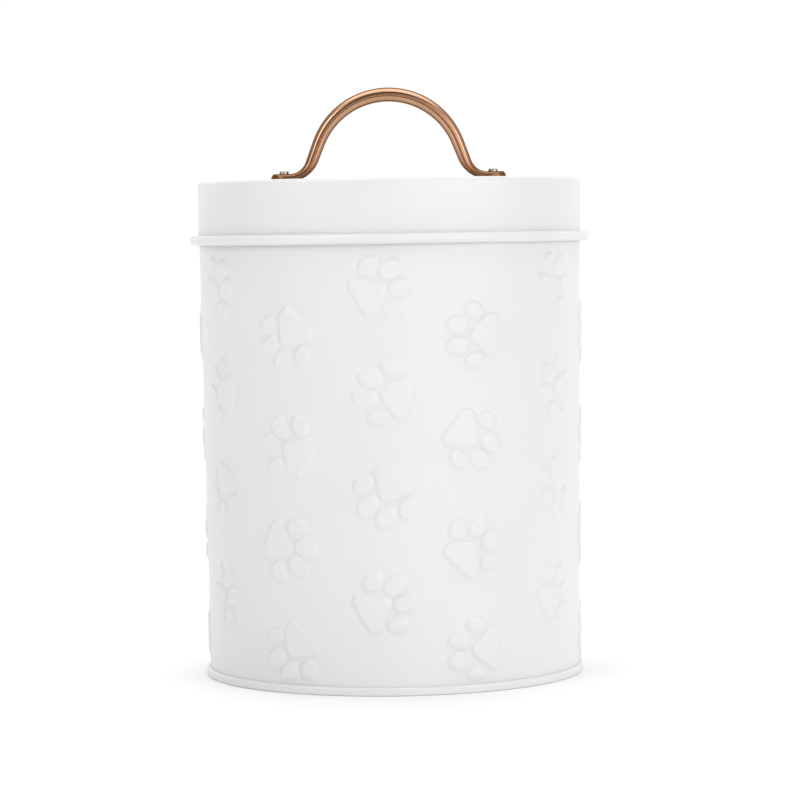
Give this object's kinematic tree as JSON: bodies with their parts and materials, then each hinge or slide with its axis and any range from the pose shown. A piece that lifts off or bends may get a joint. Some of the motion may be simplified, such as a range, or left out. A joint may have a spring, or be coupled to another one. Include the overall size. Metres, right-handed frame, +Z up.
{
  "type": "pet food bin",
  "caption": "Tapered round steel bin with raised paw prints, for dry pet food. Its slip-on lid sits on a rolled ring and lifts off by a riveted strap handle.",
  "frame": {"origin": "centre of the bin's foot ring, on the surface it stands on", "axes": "+Z up along the bin's axis, X along the strap handle, -Y towards the viewer, the wall's side seam at +Y"},
  "size_m": [0.1984, 0.1982, 0.2905],
  "materials": {
    "white_coat": "white powder coat, satin",
    "copper_strap": "copper plate, satin polished",
    "rivet_steel": "plain nickel-plated steel"
  },
  "bodies": {
    "bin": {"body_wall": "white_coat", "neck_collar": "white_coat", "base_pan": "white_coat"},
    "lid": {"lid_cap": "white_coat", "handle_strap": "copper_strap", "left_rivet": "rivet_steel", "right_rivet": "rivet_steel", "left_rivet_washer": "rivet_steel", "right_rivet_washer": "rivet_steel"}
  },
  "joints": [
    {"name": "lid_lift", "type": "slide", "parent": "bin", "child": "lid", "axis": [0, 0, 1], "range_m": [0, 0.08]}
  ]
}
